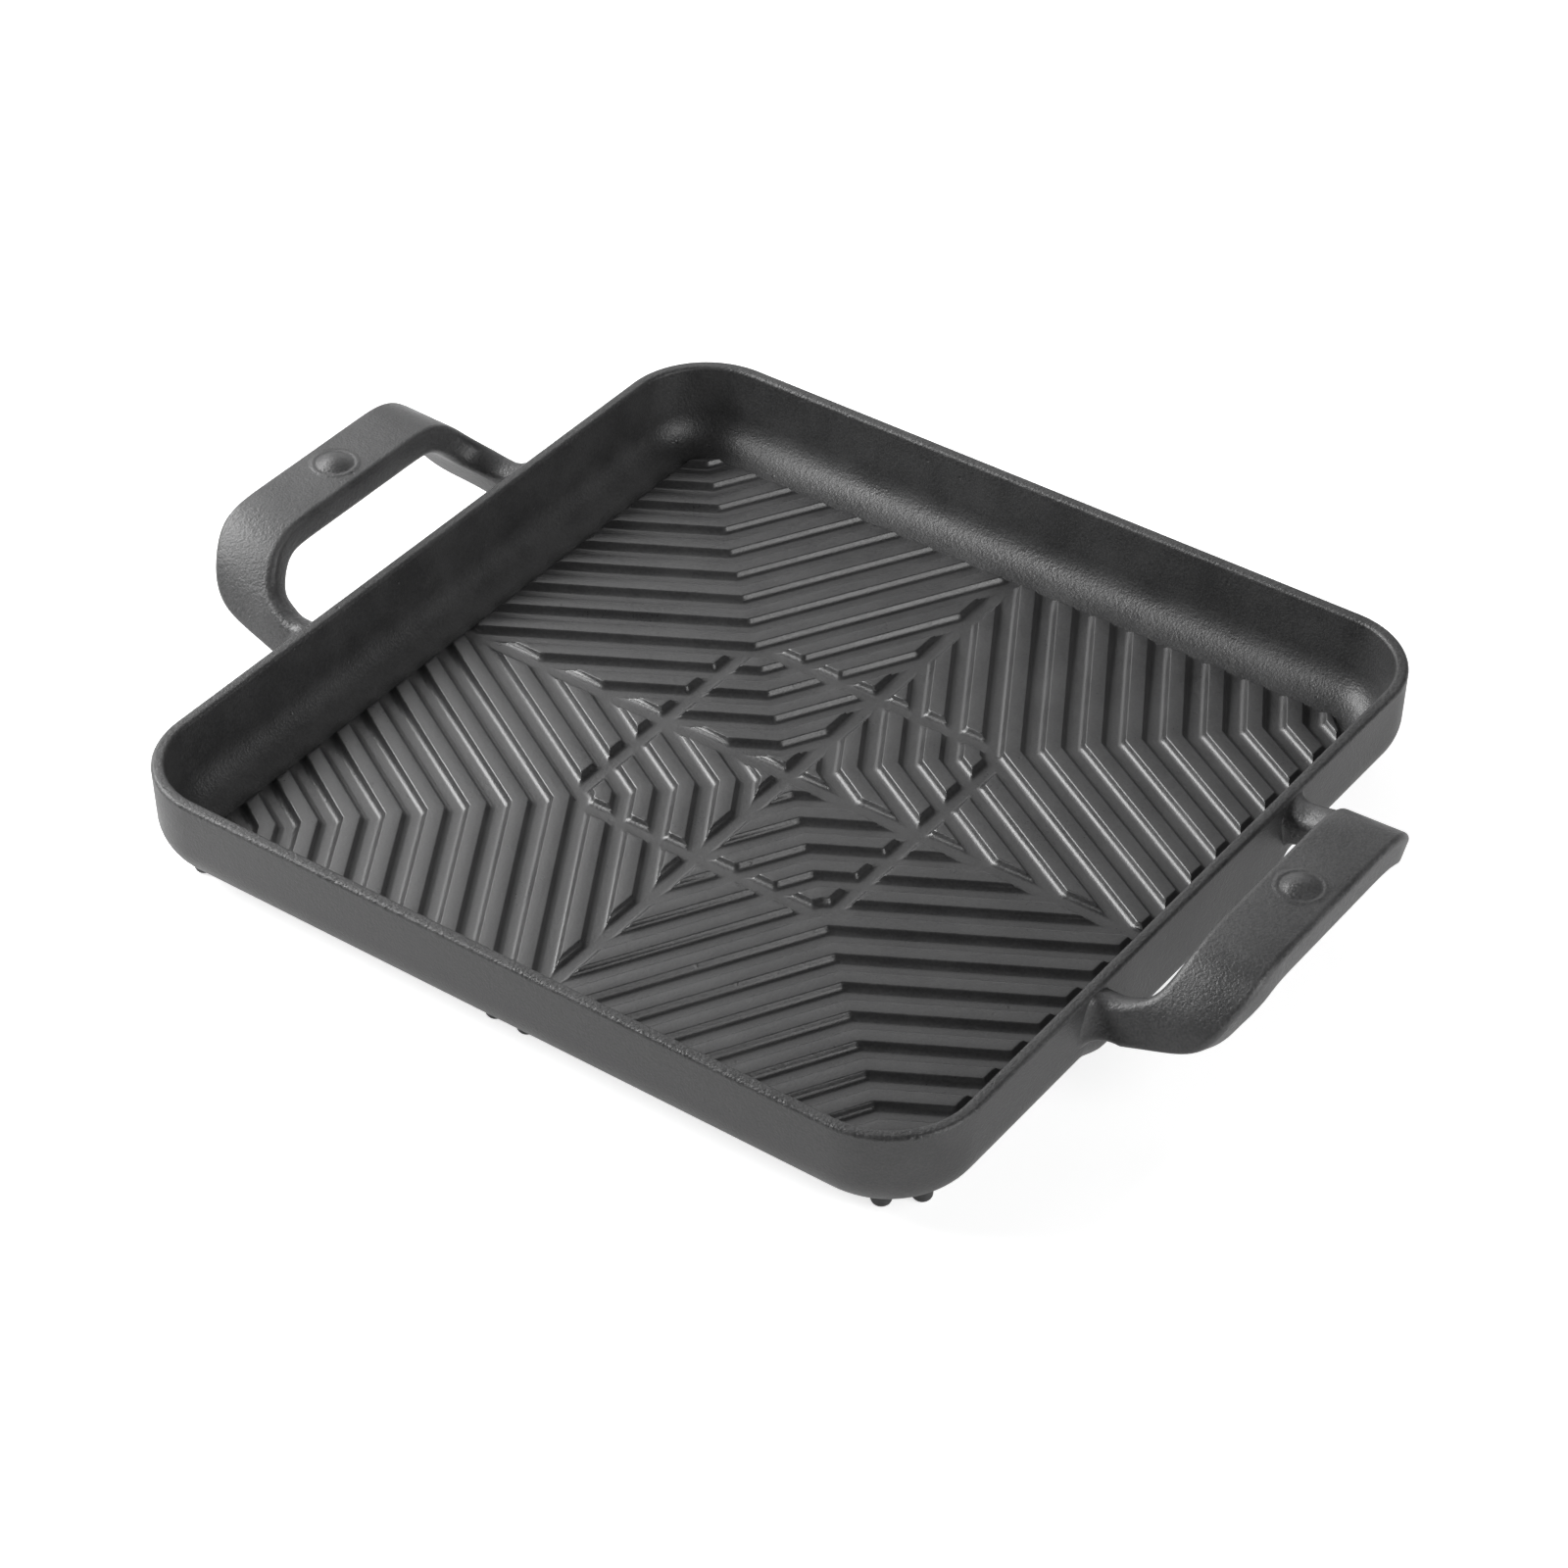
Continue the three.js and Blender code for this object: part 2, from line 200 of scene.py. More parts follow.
def castIron(name, look, grain):
    finish = bpy.data.materials.new(name)
    finish.use_nodes = True
    nodes, links = finish.node_tree.nodes, finish.node_tree.links
    shader = nodes["Principled BSDF"]
    coords = nodes.new("ShaderNodeTexCoord").outputs["Object"]

    def noise(size, detail):
        node = nodes.new("ShaderNodeTexNoise")
        node.inputs["Scale"].default_value = 1 / (size * mm)
        node.inputs["Detail"].default_value = detail
        links.new(coords, node.inputs["Vector"])
        return node.outputs["Fac"]

    def remap(value, fromLow, fromHigh, toLow, toHigh):
        node = nodes.new("ShaderNodeMapRange")
        links.new(value, node.inputs["Value"])
        node.inputs["From Min"].default_value = fromLow
        node.inputs["From Max"].default_value = fromHigh
        node.inputs["To Min"].default_value = toLow
        node.inputs["To Max"].default_value = toHigh
        return node.outputs["Result"]

    def combine(operation, first, second):
        return mathNode(finish.node_tree, operation, first, second)

    def greyTone(level, blue):
        return level, level, level * blue, 1

    sand = noise(grain["grainSize"], grain["grainDetail"])
    lumps = noise(grain["lumpSize"], grain["lumpDetail"])
    mottle = noise(grain["mottleSize"], grain["mottleDetail"])
    cells = nodes.new("ShaderNodeTexVoronoi")
    cells.inputs["Scale"].default_value = 1 / (grain["pitSpacing"] * mm)
    links.new(coords, cells.inputs["Vector"])
    reach = grain["pitSize"] / grain["pitSpacing"]
    pits = remap(cells.outputs["Distance"], reach * grain["pitFloor"], reach, 1, 0)
    slow = combine("MULTIPLY", mottle, grain["mottleShare"])
    fine = combine("MULTIPLY", sand, 1 - grain["mottleShare"])
    shade = remap(combine("ADD", slow, fine), *grain["tintSpan"], 0, 1)
    tint = nodes.new("ShaderNodeMix")
    tint.data_type = "RGBA"
    tint.inputs["A"].default_value = greyTone(look["dark"], grain["darkBlue"])
    tint.inputs["B"].default_value = greyTone(look["light"], grain["lightBlue"])
    links.new(shade, tint.inputs["Factor"])
    links.new(tint.outputs["Result"], shader.inputs["Base Color"])
    speckle = remap(sand, *grain["wearSpan"], -grain["speckle"], grain["speckle"])
    worn = remap(mottle, *grain["wearSpan"], *look["rough"])
    links.new(combine("ADD", worn, speckle), shader.inputs["Roughness"])
    bump = nodes.new("ShaderNodeBump")
    heights = nodes.new("ShaderNodeSeparateXYZ")
    links.new(coords, heights.inputs[0])
    bandLow = (rimTop - grain["rimBand"]) * mm
    nearRim = remap(heights.outputs["Z"], bandLow, rimTop * mm, 0, look["rimBump"])
    depth = combine("MULTIPLY", combine("ADD", nearRim, look["grainBump"]), grain["bumpDepth"] * mm)
    links.new(depth, bump.inputs["Distance"])
    relief = combine("ADD", sand, combine("MULTIPLY", lumps, grain["lumpShare"]))
    links.new(combine("SUBTRACT", relief, pits), bump.inputs["Height"])
    links.new(bump.outputs["Normal"], shader.inputs["Normal"])
    shader.inputs["Specular IOR Level"].default_value = look["gloss"]
    return finish


iron = {name: castIron(name, look, ironGrain) for name, look in ironLooks.items()}
print("iron finishes made:", len(iron))


def arc(centreX, centreY, radius, fromDegrees, toDegrees, steps):
    points = []
    for i in range(steps + 1):
        angle = math.radians(fromDegrees + (toDegrees - fromDegrees) * i / steps)
        points.append(Vector((centreX + radius * math.cos(angle), centreY + radius * math.sin(angle))))
    return points


def loftMesh(name, loops, isRing):
    count = len(loops[0])
    points = [point * mm for loop in loops for point in loop]
    faces = []
    for band in range(len(loops) if isRing else len(loops) - 1):
        low, high = band * count, (band + 1) % len(loops) * count
        for i in range(count):
            j = (i + 1) % count
            faces.append((low + i, low + j, high + j, high + i))
    if not isRing:
        last = (len(loops) - 1) * count
        faces.append(tuple(range(count - 1, -1, -1)))
        faces.append(tuple(range(last, last + count)))
    mesh = bpy.data.meshes.new(name)
    mesh.from_pydata(points, [], faces)
    return mesh


# points closer than these are one: in a mesh, in the flat plan, between its quarters, on its mirror; mm
sameSpot = {"mesh": 0.0005, "plan": 0.0001, "quarters": 0.001, "mirror": 0.001}


# joins doubles, turns the faces outwards and keeps only steep corners sharp
def settleMesh(mesh, sharpDegrees):
    work = bmesh.new()
    work.from_mesh(mesh)
    bmesh.ops.remove_doubles(work, verts=work.verts, dist=sameSpot["mesh"] * mm)
    bmesh.ops.recalc_face_normals(work, faces=work.faces)
    for face in work.faces:
        face.smooth = True
    for edge in work.edges:
        edge.smooth = edge.is_manifold and edge.calc_face_angle(0) < math.radians(sharpDegrees)
    work.to_mesh(mesh)
    work.free()


def addPiece(name, mesh, finish, nodes):
    mesh.materials.clear()
    mesh.materials.append(finish)
    piece = bpy.data.objects.new(name, mesh)
    scene.collection.objects.link(piece)
    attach(piece, "root")
    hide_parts(*nodes)


# wall: heights are above the underside, insets are in from the outside of the rim; mm
wallShape = {"rimThickness": 3.4, "rimRound": 1.1, "cornerRadius": 24, "outerDraft": 0.4,
             "baseRound": 11, "fullRound": 6.2, "fullHalf": 37, "fadeHalf": 46, "fadeSteps": 24,
             "coveRadius": 10, "floorInset": 14.8, "floorThickness": 2.6, "sharpDegrees": 50,
             "cornerSteps": 20, "rimSteps": 6, "coveSteps": 16, "baseSteps": 16}
wallHeight = rimTop - underside
rimShoulder = wallHeight - wallShape["rimRound"]
floorTop = underside + wallShape["floorThickness"]


# how much fuller the base is: fully between the legs of the handles, fading out along the handle sides
def fullness(y):
    share = (wallShape["fadeHalf"] - abs(y)) / (wallShape["fadeHalf"] - wallShape["fullHalf"])
    share = min(max(share, 0), 1)
    return share * share * (3 - 2 * share)


# one loop round the pan, from a point of the plain section and the same point of the fuller one
def panOutline(plain, full):
    inset = plain.x
    radius = wallShape["cornerRadius"] - inset
    cornerX, cornerY = halfX - inset - radius, halfY - inset - radius
    steps = wallShape["cornerSteps"]
    sideSteps = wallShape["fadeSteps"]
    side = []
    for i in range(-sideSteps, sideSteps + 1):
        y = wallShape["fadeHalf"] * i / sideSteps
        spot = plain.lerp(full, fullness(y))
        side.append(Vector((halfX - spot.x, y, underside + spot.y)))

    def corner(signX, signY, start):
        points = arc(signX * cornerX, signY * cornerY, radius, start, start + 90, steps)
        return [Vector((point.x, point.y, underside + plain.y)) for point in points]

    loop = side + corner(1, 1, 0) + corner(-1, 1, 90)
    loop += [Vector((-point.x, -point.y, point.z)) for point in side]
    return loop + corner(-1, -1, 180) + corner(1, -1, 270)


def outsideInset(height):
    base, edge = wallShape["baseRound"], wallShape["rimRound"]
    if height > rimShoulder:
        return edge - math.sqrt(edge * edge - min(height - rimShoulder, edge) ** 2)
    if height < base:
        return wallShape["outerDraft"] + base - math.sqrt(base * base - (base - height) ** 2)
    return wallShape["outerDraft"] * (rimShoulder - height) / (rimShoulder - base)


# across the wall: base round, upright outside, rim, inside and cove
def wallSection(shape, base):
    cove, edge = shape["coveRadius"], shape["rimRound"]
    section = arc(shape["outerDraft"] + base, base, base, 270, 180, shape["baseSteps"])
    section += arc(edge, rimShoulder, edge, 180, 90, shape["rimSteps"])
    section += arc(shape["rimThickness"] - edge, rimShoulder, edge, 90, 0, shape["rimSteps"])
    inset, thickness = shape["floorInset"], shape["floorThickness"]
    section += arc(inset, thickness + cove, cove, 180, 270, shape["coveSteps"])
    section.append(Vector((inset, 0)))
    return section


def makeWall(shape):
    plain, full = wallSection(shape, shape["baseRound"]), wallSection(shape, shape["fullRound"])
    loops = [panOutline(*points) for points in zip(plain, full)]
    mesh = loftMesh("panWall", loops, True)
    settleMesh(mesh, shape["sharpDegrees"])
    addPiece("panWall", mesh, iron["wallIron"], ["pan_wall"])


makeWall(wallShape)
print("wall lofted")

# star of ribs: sizes are taken square to the ribs, in mm and degrees; startSpan is in half widths of the pan
ribShape = {"pitch": 9.866, "first": 4.637, "angle": 30, "height": 1.75, "topWidth": 3.95, "draft": 30,
            "footFillet": 1.9, "topRound": 0.5, "endMargin": 0.5, "channel": 4.0, "square": 38.2,
            "footSteps": 6, "topSteps": 3, "cornerHold": 0.9, "leastHolds": 3, "leastArea": 0.02,
            "startSpan": 4, "sharpDegrees": 60}


# insets of the contours that the plan of a rib is drawn with, from the foot of its fillet to its flat top
def ribInsets(shape):
    lean = math.radians(shape["draft"])
    half = math.tan((math.pi / 2 + lean) / 2)
    footReach, topReach = shape["footFillet"] / half, shape["topRound"] / half
    topEdge = shape["height"] * math.tan(lean)

    def across(radius, steps):
        return [radius * math.sin((math.pi / 2 - lean) * i / steps) for i in range(steps + 1)]

    foot = [spot - footReach for spot in across(shape["footFillet"], shape["footSteps"])]
    top = [topEdge + topReach - spot for spot in reversed(across(shape["topRound"], shape["topSteps"]))]
    return foot + top


# what every line leaves of a large square, each given as (across, along, limit) with its normal out
def clipByLines(lines, far):
    outline = [Vector((-far, -far)), Vector((far, -far)), Vector((far, far)), Vector((-far, far))]
    for across, along, limit in lines:
        kept = []
        for i, point in enumerate(outline):
            before = outline[i - 1]
            gap = across * point.x + along * point.y - limit
            gapBefore = across * before.x + along * before.y - limit
            if gap * gapBefore < 0:
                kept.append(before.lerp(point, gapBefore / (gapBefore - gap)))
            if gap <= 0:
                kept.append(point)
        outline = kept
    return outline


def outlineArea(outline):
    return sum(p.x * q.y - q.x * p.y for p, q in zip(outline, outline[1:] + outline[:1])) / 2


# extra points near the corners keep the shading of a bend close to it; the mirror line needs none
def withHolds(outline, shape):
    hold = shape["cornerHold"]
    held = []
    for p, q in zip(outline, outline[1:] + outline[:1]):
        held.append(p)
        length = (q - p).length
        onMirror = abs(p.x - p.y) + abs(q.x - q.y) < sameSpot["mirror"]
        if length > shape["leastHolds"] * hold and not onMirror:
            held.append(p.lerp(q, hold / length))
            held.append(q.lerp(p, hold / length))
    return held


# contours of one rib in one eighth of the floor, where x runs along the axis and y away from it
def ribContours(shape, distance, isOuter, reach, cornerReach, insets):
    lean = math.radians(shape["angle"])
    across, along = math.sin(lean), math.cos(lean)
    halfFoot = shape["topWidth"] / 2 + shape["height"] * math.tan(math.radians(shape["draft"]))
    halfChannel = shape["channel"] / 2
    diagonal = math.sqrt(0.5)
    contours = []
    for inset in insets:
        # the fillet is short where a rib ends at the wall
        endInset = inset if inset > 0 else -inset / insets[0] * shape["endMargin"]
        lines = [(across, along, distance + halfFoot - inset),
                 (-across, -along, halfFoot - inset - distance),
                 (0, -1, -halfChannel - inset), (1, 0, reach - endInset),
                 (diagonal, diagonal, cornerReach - endInset), (-diagonal, diagonal, 0)]
        if isOuter and distance < (across + along) * shape["square"]:
            lines.append((-1, 0, -shape["square"] - halfChannel - inset))
        elif not isOuter:
            lines.append((1, 0, shape["square"] - halfChannel - inset))
        outline = clipByLines(lines, shape["startSpan"] * halfX)
        if len(outline) < 3 or outlineArea(outline) < shape["leastArea"]:
            break
        contours.append((inset, withHolds(outline, shape)))
    return contours


# flat plan of a quarter of the floor, each point carrying its inset from the foot line of its rib
def ribPlan(shape):
    insets = ribInsets(shape)
    edge = wallShape["floorInset"]
    cornerRadius = wallShape["cornerRadius"] - edge
    reachX, reachY = halfX - edge, halfY - edge
    rim = arc(reachX - cornerRadius, reachY - cornerRadius, cornerRadius, 0, 90, wallShape["cornerSteps"])
    outline = [Vector((0, 0)), Vector((reachX, 0))] + rim + [Vector((0, reachY))]
    points, depths, edges = [], [], []

    def addLoop(loop, depth):
        start = len(points)
        points.extend(loop)
        depths.extend([depth] * len(loop))
        edges.extend((start + i, start + (i + 1) % len(loop)) for i in range(len(loop)))

    addLoop(outline, insets[0])
    cutCorner = cornerRadius * (2 - math.sqrt(2))
    cornerReach = (reachX + reachY - cutCorner) * math.sqrt(0.5) - shape["endMargin"]
    lean = math.radians(shape["angle"])
    count = int((math.sin(lean) + math.cos(lean)) * reachX / shape["pitch"]) + 1
    for k in range(count):
        distance = shape["first"] + k * shape["pitch"]
        for isOuter in (False, True):
            for isSwapped, reach in ((False, reachX), (True, reachY)):
                ends = reach - shape["endMargin"]
                for inset, loop in ribContours(shape, distance, isOuter, ends, cornerReach, insets):
                    addLoop([point.yx if isSwapped else point for point in loop], inset)
    flat, _, faces, sources, _, _ = delaunay_2d_cdt(points, edges, [], 0, sameSpot["plan"])
    mesh = bpy.data.meshes.new("ribPlan")
    mesh.from_pydata([Vector((p.x, p.y, floorTop)) * mm for p in flat], [], faces)
    plan = mesh.attributes.new("inset", "FLOAT", "POINT")
    plan.data.foreach_set("value", [(depths[s[0]] if s else insets[0]) * mm for s in sources])
    return mesh


# geometry nodes: an empty tree with its inputs
def newTree(name, inputs):
    tree = bpy.data.node_groups.new(name, "GeometryNodeTree")
    tree.interface.new_socket("Geometry", in_out="INPUT", socket_type="NodeSocketGeometry")
    for label, kind in inputs.items():
        tree.interface.new_socket(label, in_out="INPUT", socket_type="NodeSocket" + kind)
    tree.interface.new_socket("Geometry", in_out="OUTPUT", socket_type="NodeSocketGeometry")
    return tree


def readPoints(tree, name):
    node = tree.nodes.new("GeometryNodeInputNamedAttribute")
    node.data_type = "FLOAT"
    node.inputs["Name"].default_value = name
    return node.outputs["Attribute"]


# the end of a tree: what came out becomes plain mesh in its finish
def endTree(tree, geometry, finish):
    nodes, links = tree.nodes, tree.links
    realize = nodes.new("GeometryNodeRealizeInstances")
    links.new(geometry, realize.inputs[0])
    paint = nodes.new("GeometryNodeSetMaterial")
    links.new(realize.outputs[0], paint.inputs["Geometry"])
    links.new(finish, paint.inputs["Material"])
    links.new(paint.outputs[0], nodes.new("NodeGroupOutput").inputs[0])


# height of a point above the floor from its inset: foot fillet, drafted flank and rounded top
def ribRise(tree, given):
    def calc(operation, *values):
        return mathNode(tree, operation, *values)

    def clamp(value, low, high):
        return calc("MINIMUM", calc("MAXIMUM", value, low), high)

    def chord(radius, across):
        squares = [calc("MULTIPLY", value, value) for value in (radius, across)]
        return calc("SQRT", calc("SUBTRACT", *squares))

    depth = readPoints(tree, "inset")
    lean = given["flankDraft"]
    slope, sine = calc("TANGENT", lean), calc("SINE", lean)
    opening = calc("TANGENT", calc("MULTIPLY", calc("ADD", lean, math.pi / 2), 0.5))
    footReach = calc("DIVIDE", given["footFillet"], opening)
    topReach = calc("DIVIDE", given["topRound"], opening)
    flankStart = calc("MULTIPLY", footReach, sine)
    topEdge = calc("MULTIPLY", given["ribHeight"], slope)
    flankEnd = calc("SUBTRACT", topEdge, calc("MULTIPLY", topReach, sine))
    footAcross = clamp(calc("ADD", depth, footReach), 0.0, calc("ADD", footReach, flankStart))
    footRise = calc("SUBTRACT", given["footFillet"], chord(given["footFillet"], footAcross))
    flankRun = calc("SUBTRACT", clamp(depth, flankStart, flankEnd), flankStart)
    flankRise = calc("DIVIDE", flankRun, slope)
    topSpan = calc("MULTIPLY_ADD", topReach, sine, topReach)
    topAcross = clamp(calc("SUBTRACT", calc("ADD", topEdge, topReach), depth), 0.0, topSpan)
    topRise = calc("SUBTRACT", chord(given["topRound"], topAcross), chord(given["topRound"], topSpan))
    return calc("ADD", calc("ADD", footRise, flankRise), topRise)


# a quarter of the floor, mirrored into all four and joined along the middle lines
def fourQuarters(tree, geometry):
    nodes, links = tree.nodes, tree.links
    join = nodes.new("GeometryNodeJoinGeometry")
    for sideX, sideY in ((1, 1), (-1, 1), (-1, -1), (1, -1)):
        quarter = nodes.new("GeometryNodeTransform")
        quarter.inputs["Scale"].default_value = (sideX, sideY, 1)
        links.new(geometry, quarter.inputs["Geometry"])
        shape = quarter.outputs[0]
        if sideX * sideY < 0:
            flip = nodes.new("GeometryNodeFlipFaces")
            links.new(shape, flip.inputs[0])
            shape = flip.outputs[0]
        links.new(shape, join.inputs[0])
    merge = nodes.new("GeometryNodeMergeByDistance")
    merge.inputs["Distance"].default_value = sameSpot["quarters"] * mm
    links.new(join.outputs[0], merge.inputs["Geometry"])
    return merge.outputs[0]


# geometry nodes: lifts the plan along a filleted flank and lays it out in four quarters
def ribTree():
    tree = newTree("starRibs", {"ribHeight": "Float", "footFillet": "Float", "topRound": "Float",
                                "flankDraft": "Float", "finish": "Material"})
    given = tree.nodes.new("NodeGroupInput").outputs
    rise = tree.nodes.new("ShaderNodeCombineXYZ")
    tree.links.new(ribRise(tree, given), rise.inputs["Z"])
    lift = tree.nodes.new("GeometryNodeSetPosition")
    tree.links.new(given["Geometry"], lift.inputs["Geometry"])
    tree.links.new(rise.outputs[0], lift.inputs["Offset"])
    endTree(tree, fourQuarters(tree, lift.outputs[0]), given["finish"])
    return tree


# runs a tree on a mesh and returns the plain result
def runTree(mesh, tree, settings):
    holder = bpy.data.objects.new("treeHolder", mesh)
    scene.collection.objects.link(holder)
    modifier = holder.modifiers.new("tree", "NODES")
    modifier.node_group = tree
    names = {item.name: item.identifier for item in tree.interface.items_tree if item.in_out == "INPUT"}
    for name, value in settings.items():
        modifier[names[name]] = value
    graph = bpy.context.evaluated_depsgraph_get()
    result = bpy.data.meshes.new_from_object(holder.evaluated_get(graph))
    bpy.data.objects.remove(holder)
    return result


# gives the open top a side and a flat underside
def closeFloor(mesh):
    work = bmesh.new()
    work.from_mesh(mesh)
    rim = [edge for edge in work.edges if edge.is_boundary]
    grown = bmesh.ops.extrude_edge_only(work, edges=rim)["geom"]
    lowEdges = [item for item in grown if isinstance(item, bmesh.types.BMEdge)]
    for item in grown:
        if isinstance(item, bmesh.types.BMVert):
            item.co.z = underside * mm
    ring = [edge for edge in lowEdges if edge.is_boundary]
    bmesh.ops.contextual_create(work, geom=ring)
    work.to_mesh(mesh)
    work.free()


def makeFloor(shape):
    settings = {"ribHeight": shape["height"] * mm, "footFillet": shape["footFillet"] * mm,
                "topRound": shape["topRound"] * mm, "flankDraft": math.radians(shape["draft"]),
                "finish": iron["ribIron"]}
    mesh = runTree(ribPlan(shape), ribTree(), settings)
    closeFloor(mesh)
    settleMesh(mesh, shape["sharpDegrees"])
    addPiece("starRibFloor", mesh, iron["ribIron"], ["ribbed_floor"])


makeFloor(ribShape)
print("ribs raised")

# loop handles: a strap that bends down from a flat bar into two upright legs; mm
strapShape = {"reach": 35.1, "rise": 13.7, "legSpread": 96, "barWidth": 18.5, "barThickness": 8,
              "edgeRound": 1.7, "legRound": 3.4, "rootFillet": 6.5, "outerFillet": 3,
              "fingerFillet": 0.6, "lowRound": 2, "rootDepth": 0.15, "rootLean": 1.4,
              "bendSteps": 66, "filletSteps": 14, "roundSteps": 6, "evenPasses": 14, "sharpDegrees": 55}
barOuter = halfX + strapShape["reach"]
barTop = rimTop + strapShape["rise"]

# edges of the strap's upper face from bar to wall, inner then outer: shares of reach, half spread, rise
barShare = 1 - strapShape["barWidth"] / strapShape["reach"]
strapRows = [
    ((barShare, 0.292, 1), (1, 0.292, 1)),
    ((barShare, 0.458, 1), (1, 0.458, 1)),
    ((barShare, 0.585, 0.942), (1, 0.585, 0.964)),
    ((0.453, 0.694, 0.781), (0.994, 0.694, 0.825)),
    ((0.422, 0.771, 0.562), (0.963, 0.777, 0.584)),
    ((0.359, 0.842, 0.27), (0.917, 0.84, 0.358)),
    ((0.289, 0.882, 0.135), (0.868, 0.892, 0.03)),
    ((0.211, 0.906, 0.058), (0.745, 0.941, -0.34)),
    ((0.142, 0.921, 0.005), (0.47, 0.976, -0.54)),
    ((0.08, 0.93, -0.012), (0.25, 0.992, -0.71)),
]


def strapPoints(shape, side):
    half = []
    for row in strapRows:
        out, along, above = row[side]
        x, y = halfX + out * shape["reach"], along * shape["legSpread"] / 2
        half.append(Vector((x, y, rimTop + above * shape["rise"])))
    return [point * Vector((1, -1, 1)) for point in reversed(half)] + half


# smooth curve through points, with even tangents where they crowd
def smoothThrough(points, share):
    spot = share * (len(points) - 1)
    i = min(int(spot), len(points) - 2)
    t = spot - i
    second, third = points[i], points[i + 1]
    first = points[i - 1] if i > 0 else second * 2 - third
    fourth = points[i + 2] if i + 2 < len(points) else third * 2 - second
    gaps = [math.sqrt((q - p).length) for p, q in ((first, second), (second, third), (third, fourth))]
    chord = (third - second) / gaps[1]
    start = ((second - first) / gaps[0] - (third - first) / (gaps[0] + gaps[1]) + chord) * gaps[1]
    end = (chord - (fourth - second) / (gaps[1] + gaps[2]) + (fourth - third) / gaps[2]) * gaps[1]
    cubic = (second - third) * 2 + start + end
    square = (third - second) * 3 - start * 2 - end
    return ((cubic * t + square) * t + start) * t + second


def wallX(z):
    return halfX - outsideInset(z - underside)


# takes the kinks out of a run of vectors, whose ends stay
def evenOut(run, passes):
    for _ in range(passes):
        middle = [(a + b * 2 + c) / 4 for a, b, c in zip(run, run[1:], run[2:])]
        run = [run[0], *middle, run[-1]]
    return run


# (inner edge, outer edge, depth direction) from one leg to the other
def strapStations(shape):
    shares = [i / (2 * shape["bendSteps"] + 1) for i in range(2 * shape["bendSteps"] + 2)]
    edges = []
    for side in (0, 1):
        points = strapPoints(shape, side)
        edges.append(evenOut([smoothThrough(points, share) for share in shares], shape["evenPasses"]))
    inner, outer = edges
    middles = [(near + far) / 2 for near, far in zip(inner, outer)]
    depths = []
    for i, (near, far) in enumerate(zip(inner, outer)):
        travel = middles[min(i + 1, len(middles) - 1)] - middles[max(i - 1, 0)]
        depths.append(travel.cross(far - near).normalized())
    depths = [depth.normalized() for depth in evenOut(depths, shape["evenPasses"])]
    return list(zip(inner, outer, depths))


# one loop across the strap: x runs down from its inner edge, y from its upper face to the fingers' side
def strapLoop(shape, station, grow):
    inner, outer, inwards = station
    across = outer - inner
    low = across.length + grow * shape["rootFillet"]
    face, back = -grow * shape["outerFillet"], shape["barThickness"] + grow * shape["fingerFillet"]
    across.normalize()
    fall = min((barTop - inner.z) / shape["rise"], 1)
    tight = shape["edgeRound"] + fall * (shape["legRound"] - shape["edgeRound"])
    wide, steps = shape["edgeRound"] + grow * shape["lowRound"], shape["roundSteps"]
    outline = arc(low - wide, back - wide, wide, 0, 90, steps)
    outline += arc(tight, back - tight, tight, 90, 180, steps)
    outline += arc(tight, face + tight, tight, 180, 270, steps)
    outline += arc(low - wide, face + wide, wide, 270, 360, steps)
    return [inner + across * point.x + inwards * point.y for point in outline]


# every point of a leg's last loop runs on to the wall, straight and then along its own quarter round
def rootLoops(shape, station):
    start, end = strapLoop(shape, station, 0), strapLoop(shape, station, 1)
    for point in end:
        point.z = min(point.z, rimTop - shape["rootDepth"])
        point.x = wallX(point.z) - shape["rootDepth"]
    loops = []
    for i in range(shape["filletSteps"] + 1):
        angle = math.pi / 2 * i / shape["filletSteps"]
        loop = []
        for p, q in zip(start, end):
            spread = (q - p).yz.length
            straight = max(1 - shape["rootLean"] * spread / (p.x - q.x), 0)
            moved, grown = straight + (1 - straight) * math.sin(angle), 1 - math.cos(angle)
            loop.append(p + (q - p) * Vector((moved, grown, grown)))
        loops.append(loop)
    return loops


def handleLoops(shape):
    stations = strapStations(shape)
    loops = [strapLoop(shape, station, 0) for station in stations]
    return list(reversed(rootLoops(shape, stations[0]))) + loops + rootLoops(shape, stations[-1])


# soft dome with a faint ring round its foot, on top of the bar; mm
bossShape = {"radius": 7, "ringRadius": 5.7, "ringWidth": 0.7, "ringHeight": 0.26,
             "domeRadius": 5.1, "domeHeight": 1.9, "domePower": 1.2, "sink": 0.2,
             "sides": 48, "steps": 30}


def bossHeight(shape, radius):
    ring = shape["ringHeight"] * math.exp(-((radius - shape["ringRadius"]) / shape["ringWidth"]) ** 2)
    share = min(radius / shape["domeRadius"], 1)
    return ring + shape["domeHeight"] * (1 - share * share) ** shape["domePower"]


def bossMesh(name, shape):
    centre = Vector((barOuter - strapShape["barWidth"] / 2, 0, barTop))
    profile = [Vector((shape["radius"], -shape["sink"]))]
    for i in range(shape["steps"]):
        radius = shape["radius"] * (1 - i / shape["steps"])
        profile.append(Vector((radius, bossHeight(shape, radius))))
    loops = []
    for point in profile:
        circle = arc(0, 0, point.x, 0, 360, shape["sides"])[:-1]
        loops.append([centre + Vector((spot.x, spot.y, point.y)) for spot in circle])
    return loftMesh(name, loops, False)


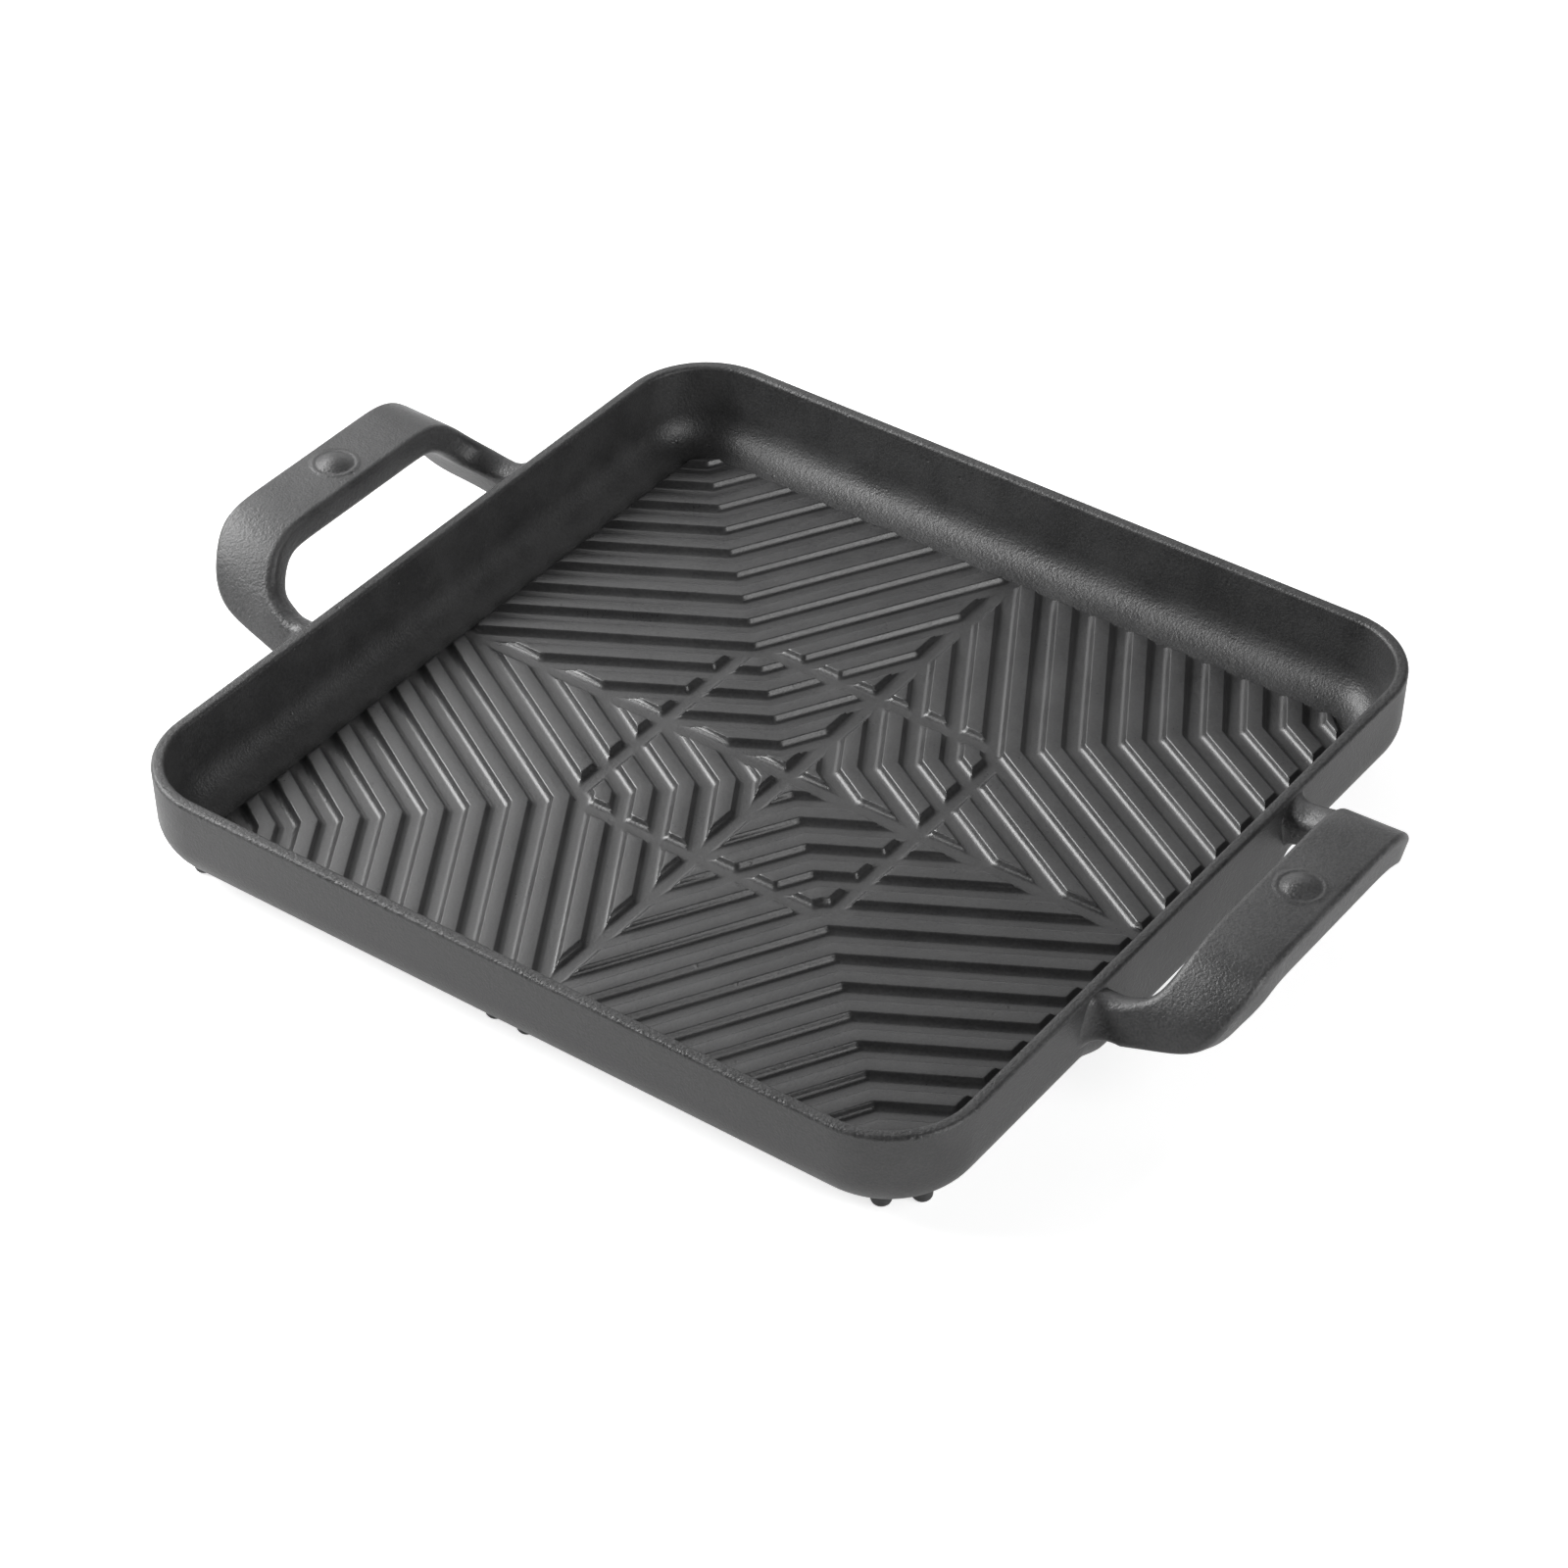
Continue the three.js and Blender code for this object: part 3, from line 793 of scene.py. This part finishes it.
def makeHandles():
    for side, turn in (("right", 0), ("left", math.pi)):
        grip = loftMesh("handleLoop_" + side, handleLoops(strapShape), False)
        dome = bossMesh("bossDome_" + side, bossShape)
        for mesh, node in ((grip, "handle_" + side), (dome, "boss_" + side)):
            mesh.transform(Matrix.Rotation(turn, 4, "Z"))
            settleMesh(mesh, strapShape["sharpDegrees"])
            addPiece(mesh.name, mesh, iron["handleIron"], [node])


makeHandles()
print("handles and bosses lofted")

# guide ridges under the floor, one copy of the same bar at each place; mm
ridgeShape = {"length": 40, "width": 5, "footWidth": 2, "sink": 0.6, "endSteps": 12, "roundSteps": 6,
              "sharpDegrees": 55}


def ridgeMesh(shape):
    overhang = (shape["width"] - shape["footWidth"]) / 2
    levels = arc(0, overhang, overhang, 270, 360, shape["roundSteps"])
    levels.append(Vector((overhang, underside + shape["sink"])))
    run = (shape["length"] - shape["width"]) / 2
    loops = []
    for level in levels:
        radius = shape["footWidth"] / 2 + level.x
        outline = arc(run, 0, radius, -90, 90, shape["endSteps"])
        outline += arc(-run, 0, radius, 90, 270, shape["endSteps"])
        loops.append([Vector((point.x, point.y, level.y)) for point in outline])
    mesh = loftMesh("ridgeBar", loops, False)
    settleMesh(mesh, shape["sharpDegrees"])
    return mesh


# geometry nodes: sets the bar at every point, turned by the point's own angle
def ridgeTree():
    tree = newTree("guideRidges", {"bar": "Object", "finish": "Material"})
    nodes, links = tree.nodes, tree.links
    given = nodes.new("NodeGroupInput").outputs
    angle = nodes.new("ShaderNodeCombineXYZ")
    links.new(readPoints(tree, "turn"), angle.inputs["Z"])
    bar = nodes.new("GeometryNodeObjectInfo")
    links.new(given["bar"], bar.inputs["Object"])
    place = nodes.new("GeometryNodeInstanceOnPoints")
    links.new(given["Geometry"], place.inputs["Points"])
    links.new(bar.outputs["Geometry"], place.inputs["Instance"])
    links.new(angle.outputs[0], place.inputs["Rotation"])
    endTree(tree, place.outputs[0], given["finish"])
    return tree


def makeRidges(shape):
    names = sorted(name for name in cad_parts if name.startswith("ridge_"))
    eighth = math.pi / 4
    spots, turns = [], []
    for name in names:
        low, high = (Vector(corner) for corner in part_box(name))
        middle = (low + high) / 2
        spots.append((middle.x, middle.y, 0))
        turns.append(round(math.atan2(middle.y, middle.x) / eighth) * eighth)
    points = bpy.data.meshes.new("ridgePlaces")
    points.from_pydata(spots, [], [])
    points.attributes.new("turn", "FLOAT", "POINT").data.foreach_set("value", turns)
    bar = bpy.data.objects.new("ridgeBar", ridgeMesh(shape))
    scene.collection.objects.link(bar)
    mesh = runTree(points, ridgeTree(), {"bar": bar, "finish": iron["baseIron"]})
    bpy.data.objects.remove(bar)
    mesh.name = "guideRidges"
    addPiece("guideRidges", mesh, iron["baseIron"], names)


makeRidges(ridgeShape)
print("ridges set")
